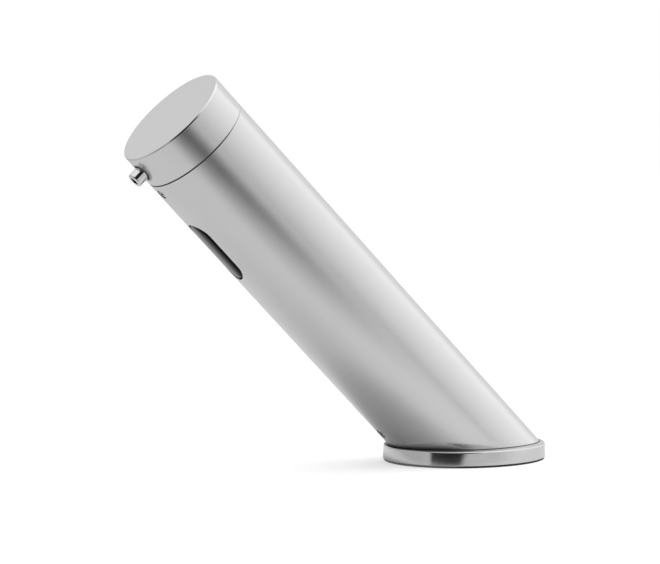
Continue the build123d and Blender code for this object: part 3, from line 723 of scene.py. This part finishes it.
def even_rows(radius, start, stop, count, columns=slice(None)):
    """Rings of one radius at even stations, also from or to a slanted row."""
    return ring_rows([(radius, station) for station in np.linspace(start, stop, count)], columns=columns)


def on_wall(side, station, radius, sunk=0.0):
    """Points on the underside of a cylinder: drop is the root of radius squared less side squared."""
    return place(station, np.sqrt(radius**2 - side**2) - sunk, side)


print("columns round the tube:", len(ring_angles(tube_r)))


# %% Outlines of holes, met by rays from their middle
def obround(half_length, half_width):
    """Outline of a slot with round ends, as side and height where a ray at an angle meets it."""
    def outline(rays, grow=0.0):
        across, up = np.abs(np.cos(rays)), np.abs(np.sin(rays))
        width, straight = half_width + grow, half_length - half_width
        beside = width / np.maximum(across, 1e-9)
        round_end = straight * up + np.sqrt(np.maximum(width**2 - (straight * across) ** 2, 0))
        reach = np.where(beside * up <= straight, beside, round_end)
        return reach * np.cos(rays), reach * np.sin(rays)
    return outline


def hexagon(rays, across_flats):
    """Radius of a hexagon along rays: half its width over the cosine of the angle from a flat's middle."""
    return across_flats / 2 / np.cos(np.mod(rays, math.pi / 3) - math.pi / 6)


# %% Sheets round holes
row_shares = np.array([0.0, 0.05, 0.16, 0.36, 0.62, 1.0])[:, None]


def border(bottom, top, rows):
    """Side and station round a rectangle of the strip: along its bottom, up, back along its top and down."""
    bottom, top = (np.broadcast_to(stations, strip_columns) for stations in (bottom, top))
    upright = np.full(rows - 1, strip_half)
    side = np.concatenate([strip_sides, upright, strip_sides[-2::-1], -upright])
    left, right = (np.linspace(bottom[end], top[end], rows) for end in (0, -1))
    return side, np.concatenate([bottom, right[1:], top[-2::-1], left[-2::-1]])


def round_hole(station, outline, radius, bottom, top, rows, grow=0.0):
    """Sheet on a wall from a hole's outline to the rectangle round it, and the angles of its rays."""
    side, height = border(bottom, top, rows)
    rays = np.arctan2(height - station, side)
    hole_side, hole_height = outline(rays, grow)
    sides = hole_side + (side - hole_side) * row_shares
    stations = station + hole_height + (height - station - hole_height) * row_shares
    return on_wall(sides, stations, radius), rays


def rolled_mouth(station, outline, rays, radius, grow, dip, steps=5):
    """Rows over a rolled edge: the outline grows by grow (1 - sine), and is sunk by dip (1 - cosine)."""
    rows = []
    for turn in np.linspace(0, math.pi / 2, steps):
        side, height = outline(rays, grow * (1 - math.sin(turn)))
        rows.append(on_wall(side, station + height, radius, dip * (1 - math.cos(turn))))
    return rows


# %% Tube's sizes
seam_gap = 0.12 * mm
hole_edge = 0.15 * mm
seam_edge = 0.22 * mm
tube_end = seam_station - seam_gap / 2
foot_zone_top, foot_rows = 38 * mm, 11
# A zone is its first and last station and its number of rows.
window_zone, cap_grub_zone = (110 * mm, 150 * mm, 25), (156 * mm, tube_end - 0.5 * mm, 9)
plain_rows, edge_rows = (13, 4, 2), 6
grub_hole, window_hole = obround(2.05 * mm, 2.05 * mm), obround(14.7 * mm, 6.65 * mm)
tube_holes = [(grub_stations[0], grub_hole), (window_station, window_hole), (grub_stations[1], grub_hole)]


# %% Tube
def foot_station(radius, angle, level=0.0):
    """Station where a cylinder's line at an angle is at a level above the plate's top."""
    return level / along[2] + radius * np.cos(angle) * lean_tan


def wall_sheets(radius, edge, level, end):
    """All sheets of one wall of the tube, and the rays of its three holes."""
    lowest = foot_station(radius, ring_angles(radius), level)
    sheets = [even_rows(radius, lowest[back_part], foot_zone_top, foot_rows, back_part)]
    zones = [(lowest[:strip_columns], foot_zone_top, foot_rows), window_zone, cap_grub_zone]
    holes = [round_hole(*hole, radius, *zone, edge) for hole, zone in zip(tube_holes, zones)]
    sheets += [sheet for sheet, _ in holes] + [even_rows(radius, *zone, back_part) for zone in zones[1:]]
    starts, stops = (foot_zone_top, window_zone[1], cap_grub_zone[1]), (window_zone[0], cap_grub_zone[0], end)
    sheets += [even_rows(radius, *zone) for zone in zip(starts, stops, plain_rows)]
    return sheets, [rays for _, rays in holes]


def tube_sheets():
    """Outer wall, bore, the walls through the three holes, and the rolled foot and top."""
    outer, outer_rays = wall_sheets(tube_r, hole_edge, seam_edge, tube_end - seam_edge)
    inner, inner_rays = wall_sheets(bore_r, 0.0, 0.0, tube_end)
    sheets = outer + inner
    for (station, outline), rays, inside in zip(tube_holes, outer_rays, inner_rays):
        side, height = outline(inside)
        rows = rolled_mouth(station, outline, rays, tube_r, hole_edge, hole_edge)
        sheets.append(np.stack(rows + [on_wall(side, station + height, bore_r)]))
    turn = np.linspace(0, math.pi / 2, edge_rows)
    radii, rises = tube_r - seam_edge * (1 - np.cos(turn)), seam_edge * (1 - np.sin(turn))
    angles = ring_angles(tube_r)
    foot_line = [foot_station(radius, angles, rise) for radius, rise in zip(radii, rises)]
    ends = [(foot_line, foot_station(bore_r, ring_angles(bore_r))), (tube_end - rises, tube_end)]
    for stations, inner_station in ends:
        edge = ring_rows(list(zip(radii, stations)), angles)
        sheets.append(np.concatenate([edge, ring_rows([(bore_r, inner_station)])]))
    return sheets


make_piece("spout_tube_brushed", tube_sheets(), tube_steel, "spout", "tube_steel", "spout_tube")

# %% [markdown]
# ## The end cap
#
# The real cap is turned from bar in one piece: a face, a short skirt as wide as
# the tube, and a spigot that slides into the tube, with a ring groove and a
# keyway for its grub screw. It uses the tube's layout again. Its face is turned,
# so its marks are rings round the middle, and a fine steep chamfer breaks its
# edge, which gives the thin bright and dark line round the face.

# %% Cap's sizes
cap_start = seam_station + seam_gap / 2
cap_zone = (166.4 * mm, 178.8 * mm, 13)
cavity_r, cavity_end = 17.5 * mm, 176.65 * mm
spigot_r, spigot_start = 20.2 * mm, 155.5 * mm
groove_r, groove_start, groove_end = 19.15 * mm, 163.65 * mm, 164.85 * mm
keyway_drop, keyway_end = 18.9 * mm, 163.5 * mm
recess_r, recess_drop = 3.6 * mm, 21.3 * mm
seat_r, seat_drop = 5.5 * mm, 17.8 * mm
nozzle_hole_r = 3.05 * mm
face_station = top_station - 0.06 * mm
chamfer_width, chamfer_height, chamfer_edges = 0.30 * mm, 0.52 * mm, [0.10 * mm, 0.06 * mm]


# %% Cap's skirt
def seat(rays, grow=0.0):
    """A circle that the cavity's end cuts off: the smaller of its radius and the ray's way to the end."""
    reach = np.minimum(seat_r, (cavity_end - nozzle_station) / np.maximum(np.sin(rays), 1e-9))
    return reach * np.cos(rays), reach * np.sin(rays)


def skirt_sheets():
    """Skirt with the nozzle's recess, hole and inner seat, and the cavity's wall with the seat's outline."""
    recess = obround(recess_r, recess_r)
    inner_zone = (cap_zone[0], cavity_end, cap_zone[2])
    skirt, rays = round_hole(nozzle_station, recess, tube_r, *cap_zone, hole_edge)
    wall, inside = round_hole(nozzle_station, seat, cavity_r, *inner_zone)
    side, height = seat(inside)
    down = [(recess_r, recess_drop), (nozzle_hole_r, recess_drop), (nozzle_hole_r, seat_drop)]
    rows = rolled_mouth(nozzle_station, recess, rays, tube_r, hole_edge, hole_edge)
    rows += list(rings_down(nozzle_station, rays, down))
    heights = nozzle_station + height
    rows += [place(heights, seat_drop, side), on_wall(side, heights, cavity_r)]
    backs = [even_rows(tube_r, *cap_zone, back_part), even_rows(cavity_r, *inner_zone, back_part)]
    return [skirt, wall, np.stack(rows)] + backs


# %% Cap's spigot, edges and face
def spigot_sheets():
    """Spigot with its keyway: the wall stops at the slot, whose floor is flat at a fixed drop."""
    slot_columns = slice(slot_first, slot_last + 1)
    sides = strip_sides[slot_columns]
    ends = np.array([spigot_start, keyway_end])
    end_radii = (cavity_r, math.hypot(keyway_drop, slot_half), spigot_r)
    sheets = []
    for columns in (slice(0, slot_first + 1), slice(slot_last, None)):
        end_rows = [(radius, spigot_start) for radius in end_radii]
        sheets += [even_rows(spigot_r, *ends, 2, columns), ring_rows(end_rows, columns=columns)]
    sheets.append(place(ends[:, None], keyway_drop, sides))
    drops = np.array([keyway_drop, math.sqrt(spigot_r**2 - slot_half**2)])
    sheets += [place(ends[:, None], drops, side) for side in (-slot_half, slot_half)]
    sheets.append(np.stack([on_wall(sides, keyway_end, spigot_r), place(keyway_end, keyway_drop, sides)]))
    rim = ring_rows([(cavity_r, spigot_start)], columns=slot_columns)
    sheets.append(np.concatenate([rim, place(spigot_start, keyway_drop, sides)[None]]))
    return sheets


def cap_sheets():
    """Skirt, spigot, ring groove, rolled edge at the seam, chamfered face and cavity."""
    shoulder = [
        (spigot_r, keyway_end), (spigot_r, groove_start), (groove_r, groove_start), (groove_r, groove_end),
        (spigot_r, groove_end), (spigot_r, cap_start), (tube_r, cap_start), (tube_r, cap_zone[0]),
    ]
    face = [
        (tube_r, cap_zone[1]), (tube_r, face_station - chamfer_height),
        (tube_r - chamfer_width, face_station), (0, face_station),
    ]
    return skirt_sheets() + spigot_sheets() + [
        ring_rows(rolled(shoulder, [0, 0, 0, 0, 0, seam_edge])),
        ring_rows(rolled(face, chamfer_edges), ring_angles(tube_r)),
        even_rows(cavity_r, spigot_start, cap_zone[0], 2),
        ring_rows([(cavity_r, cavity_end), (0.0, cavity_end)], ring_angles(cavity_r)),
    ]


make_piece("end_cap_turned", cap_sheets(), cap_steel, "cap", "cap_steel", "end_cap")

# %% [markdown]
# ## The base plate and its gasket
#
# The plate is a slightly oval disc. Its wall is a family of curves that lie at
# even distances inside the ellipse, so the profile of wall and edge can be given
# as distance and height. Polishing crowns such a wall a little, which is why it
# mirrors the room and not only the table. The flat faces have several holes, and
# there a Delaunay fill between the outlines is the simplest sheet.


# %% Ovals and flat fills
rim_columns, bore_columns = 193, 49


def oval(half, height, inset=0.0, middle=(0.0, 0.0), columns=rim_columns):
    """Ellipse of two half sizes at a height, moved inwards along its own normal by an inset."""
    angle = np.linspace(0, math.tau, columns)
    turn = np.stack([np.cos(angle), np.sin(angle)], axis=-1)
    outward = turn / half
    outward /= np.linalg.norm(outward, axis=-1, keepdims=True)
    edge = np.array(middle) + turn * half - inset * outward
    return np.concatenate([edge, np.full((columns, 1), height)], axis=-1)


def bore(middle, rows):
    """Circles of (radius, height) rows round an upright axis through the middle."""
    return np.stack([oval(radius, height, middle=middle, columns=bore_columns) for radius, height in rows])


def flat_fill(outlines):
    """Triangles between a rim and the holes in it: a triangle with all corners on one hole lies in it."""
    loops = [outline[:-1] for outline in outlines]
    counts = [len(loop) for loop in loops]
    index = np.arange(sum(counts))
    following = np.concatenate([np.roll(part, -1) for part in np.split(index, np.cumsum(counts)[:-1])])
    corners = np.concatenate(loops)
    flat = (corners[:, :2] / mm).tolist()
    points, _, faces = delaunay_2d_cdt(flat, np.stack([index, following], axis=-1).tolist(), [], 1, 1e-6)[:3]
    owner = np.repeat(np.arange(len(loops)), counts)[np.array(faces)]
    in_hole = (owner == owner[:, :1]).all(axis=1) & (owner[:, 0] > 0)
    heights = np.full((len(points), 1), corners[0, 2])
    return np.concatenate([np.array(points) * mm, heights], axis=1), np.array(faces)[~in_hole]


# %% Plate
plate_half = (plate_high - plate_low)[:2] / 2
plate_top = plate_high[2]
gasket_top, rebate_width = 0.8 * mm, 3.0 * mm
low_edge, top_edge = 0.12 * mm, 0.55 * mm
crown_depth, crown_power = 0.12 * mm, 1.3
passage_r, stud_r, screw_r, sink_r, sink_depth = 10.5 * mm, 2.5 * mm, 2.05 * mm, 3.85 * mm, 1.8 * mm
stud_middles = [(-15.2 * mm, 0.0), (15.2 * mm, 0.0)]
screw_middles = [(-15.0 * mm, -11.0 * mm), (15.0 * mm, -11.0 * mm), (0.0, 19.2 * mm)]


def plate_sheets():
    """Crowned wall with rolled edges, rebate, passage and holes, and the fills of the two flat faces."""
    corners = [(-gasket_top, gasket_top), (0, gasket_top), (0, plate_top), (-rebate_width, plate_top)]
    profile = rolled(corners, [low_edge, top_edge])[:-1]
    rise = np.clip((profile[:, 1] - gasket_top) / (plate_top - gasket_top), 0, 1)
    insets = crown_depth * rise ** crown_power - profile[:, 0]
    wall = [oval(plate_half, height, inset) for inset, height in zip(insets, profile[:, 1])]
    rebate = [oval(plate_half - rebate_width, height) for height in (0.0, gasket_top)]
    passage = [oval(passage_r / np.array([1, along[2]]), height) for height in (0.0, plate_top)]
    stud_rows = [(stud_r, 0.0), (stud_r, plate_top)]
    screw_rows = [(sink_r, 0.0), (screw_r, sink_depth), (screw_r, plate_top)]
    holes = [np.stack(passage)] + [bore(middle, stud_rows) for middle in stud_middles]
    holes += [bore(middle, screw_rows) for middle in screw_middles]
    faces = ((wall[-1], -1), (rebate[0], 0))
    fills = [flat_fill([rim] + [hole[end] for hole in holes]) for rim, end in faces]
    return [np.stack(rebate + wall)] + holes, fills


sheets, fills = plate_sheets()
make_piece("base_plate_oval", sheets, plate_steel, "base", "plate_steel", "base_plate", fills=fills)

# %% Gasket
gasket_half, gasket_inset, gasket_edge = 1.275 * mm, 0.4 * mm, 0.15 * mm


def gasket_sheet():
    """Flat ring with rolled corners that fills the rebate, a little inside the plate's edge."""
    wide, tall, seam = gasket_half, gasket_top, (0.2 * mm, 0.0)
    corners = [seam, (wide, 0.0), (wide, tall), (-wide, tall), (-wide, 0.0), seam]
    middle = plate_half - gasket_inset - gasket_half
    profile = rolled(corners, [gasket_edge] * 4)
    return [np.stack([oval(middle + across, height) for across, height in profile])]


make_piece("deck_gasket_rubber", gasket_sheet(), finishes["gasket_rubber"], "base", "rubber", "deck_gasket")

# %% [markdown]
# ## The outlet nozzle
#
# The nozzle is a turned brass tube with bright chrome on it. It is a profile
# carried round its own axis. Its small rolled edges matter most, because on such
# a mirror they draw the bright lip and the dark ring of the bore.

# %% Nozzle
nozzle_r, nozzle_bore_r = 3.0 * mm, 1.65 * mm
nozzle_lip, nozzle_middle, nozzle_end = 26.9 * mm, 20.0 * mm, 13.0 * mm
nozzle_edges = [0.18 * mm, 0.6 * mm, 0.3 * mm, 0.2 * mm]
nozzle_columns = 97


def nozzle_sheet():
    """Closed profile of radius and drop: down the bore, over the lip, up outside and over the inner end."""
    corners = [
        (nozzle_bore_r, nozzle_middle), (nozzle_bore_r, nozzle_lip), (nozzle_r, nozzle_lip),
        (nozzle_r, nozzle_end), (nozzle_bore_r, nozzle_end), (nozzle_bore_r, nozzle_middle),
    ]
    rays = np.linspace(0, math.tau, nozzle_columns)
    return [rings_down(nozzle_station, rays, rolled(corners, nozzle_edges))]


make_piece("outlet_nozzle_chromed", nozzle_sheet(), finishes["nozzle_chrome"], "cap", "nozzle_chrome",
           "outlet_nozzle")

# %% [markdown]
# ## The grub screws
#
# Each grub screw is a short threaded rod with a hex socket, and its end is level
# with the bottom of its hole's rolled edge. The thread is one formula: its radius
# falls and rises with height, and the height that counts is shifted by one pitch
# for each turn.

# %% Grub screws
thread_pitch, thread_depth = 0.7 * mm, 0.16 * mm
grub_r, grub_low, grub_high = 2.0 * mm, 19.2 * mm, 22.20 * mm
grub_chamfer, grub_rim = 0.3 * mm, 0.08 * mm
socket_flats, socket_mouth, mouth_depth = 1.6 * mm, 1.8 * mm, 0.1 * mm
socket_depth, point_depth, tip_r, tip_depth = 1.4 * mm, 1.7 * mm, 1.1 * mm, 0.5 * mm
grub_columns, grub_rows = 49, 61


def grub_sheets(station):
    """Thread: radius less depth times a triangle wave of height over pitch less turns, ends chamfered."""
    rays = np.linspace(0, math.tau, grub_columns)
    drops = np.linspace(grub_low, grub_high, grub_rows)[:, None]
    wave = np.abs(2 * np.mod(drops / thread_pitch - rays / math.tau, 1) - 1)
    chamfer = np.maximum(grub_chamfer - (drops - grub_low), grub_rim - (grub_high - drops))
    radius = np.minimum(grub_r - thread_depth * wave, grub_r - np.maximum(chamfer, 0))
    radius[[0, -1]] = grub_r - np.array([[grub_chamfer], [grub_rim]])
    thread = place(station + radius * np.sin(rays), drops, radius * np.cos(rays))
    mouth, key = hexagon(rays, socket_mouth), hexagon(rays, socket_flats)
    socket = [(grub_r - grub_rim, grub_high), (mouth, grub_high), (key, grub_high - mouth_depth),
              (key, grub_high - socket_depth), (0.0, grub_high - point_depth)]
    tip = [(grub_r - grub_chamfer, grub_low), (tip_r, grub_low), (0.0, grub_low + tip_depth)]
    return [thread, rings_down(station, rays, socket), rings_down(station, rays, tip)]


for body, station in zip(("base", "cap"), grub_stations):
    name = body + "_grub_screw"
    make_piece(name + "_threaded", grub_sheets(station), grub_steel, body + "_screw", "grub_steel", name)

# %% [markdown]
# ## The drip valve's spring
#
# A coil of thin wire presses the poppet on its seat. It is a ring swept round the
# nozzle's axis. Pump pressure lifts the poppet by 0.8 mm, and the coil has to get
# shorter by as much; here it is built at its resting length only.

# %% Spring
spring_low, spring_high = 8.45 * mm, 12.95 * mm
spring_r, wire_r, spring_turns = 1.53 * mm, 0.17 * mm, 4
turn_steps, wire_columns = 32, 13


def spring_sheet():
    """Ring of wire radius w round (r, drop), turned as the drop rises; w is nought at both ends."""
    travel = np.concatenate([[0], np.linspace(0, 1, turn_steps * spring_turns + 1), [1]])[:, None]
    wire = np.full(len(travel), wire_r)[:, None]
    wire[[0, -1]] = 0
    around = np.linspace(0, math.tau, wire_columns)
    angle = math.tau * spring_turns * travel
    drop = spring_low + wire_r + (spring_high - spring_low - 2 * wire_r) * travel + wire * np.sin(around)
    reach = spring_r + wire * np.cos(around)
    return [place(nozzle_station + reach * np.sin(angle), drop, reach * np.cos(angle))]


spring = make_piece("valve_spring_coil", spring_sheet(), finishes["screw_steel"], "cap", "screw_steel",
                    "valve_spring")
place(nozzle_station, spring_high)
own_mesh(spring)

# %% [markdown]
# ## The sensor window
#
# The window is a dark acrylic moulding: a lens that fills the oval hole, with a
# flange behind it. It follows the tube's curve, nearly flush with it, and its rim
# is rolled down into the gap. Its rows are scaled copies of the oval outline,
# laid on cylinders.

# %% Window
lens_outline, flange_outline = obround(14.0 * mm, 5.95 * mm), obround(16.7 * mm, 8.65 * mm)
lens_r, flange_r, flange_back_r = 22.42 * mm, 20.1 * mm, 19.1 * mm
lens_rim, rim_dip, rim_rows = 2.2 * mm, 0.45 * mm, 13
lens_columns, lens_rows = 145, 9


def window_sheets():
    """Scaled obrounds on cylinders: the lens face, its rolled rim, the flange and the back."""
    rays = np.linspace(0, math.tau, lens_columns)
    spread = np.linspace(0, 1, lens_rows)[:, None]
    side, height = lens_outline(rays, -lens_rim)
    face = on_wall(side * spread, window_station + height * spread, lens_r)
    rows = rolled_mouth(window_station, lens_outline, rays, lens_r, -lens_rim, rim_dip, rim_rows)
    side, height = lens_outline(rays)
    wide_side, wide_height = flange_outline(rays)
    rows += [
        on_wall(side, window_station + height, flange_r),
        on_wall(wide_side, window_station + wide_height, flange_r),
        on_wall(wide_side, window_station + wide_height, flange_back_r),
    ]
    back = on_wall(wide_side * spread, window_station + wide_height * spread, flange_back_r)
    return [face, np.stack(rows), back]


make_piece("sensor_window_lens", window_sheets(), window_dark, "spout", "window_dark", "sensor_window")

# %% [markdown]
# ## What the spout holds inside
#
# The valve, sensor, hose and base core are hidden in the assembled spout, but they
# come into view as soon as the cap is pulled or the spout is lifted. The CAD
# solids have the right shapes for them, so they keep their meshes, and each gets
# the finish of its real material.

# %% Finishes of the inner pieces
inner_pieces = {
    "core_brass": "base_core",
    "brass": "nozzle_nut valve_body hose_barb",
    "screw_steel": "core_screws cover_screws nozzle_washer hose_ferrule",
    "rubber": "core_o_ring window_gasket cable_gland cap_o_ring",
    "black_plastic": "sensor_housing sensor_cover",
    "board_green": "sensor_board",
    "chip_black": "sensor_chip",
    "eye_clear": "ir_emitter",
    "eye_dark": "ir_receiver",
    "cable_sheath": "sensor_cable",
    "plug_plastic": "cable_plug",
    "hose_clear": "soap_hose",
    "white_plastic": "valve_poppet hose_coupling",
    "collar_blue": "coupling_collar",
}
for finish_name, nodes in inner_pieces.items():
    for node in nodes.split():
        slots = frame["nodes"][node].data.materials
        slots.clear()
        slots.append(finishes[finish_name])
print("inner pieces:", sum(len(nodes.split()) for nodes in inner_pieces.values()))

# %% Finish
bpy.context.view_layer.update()
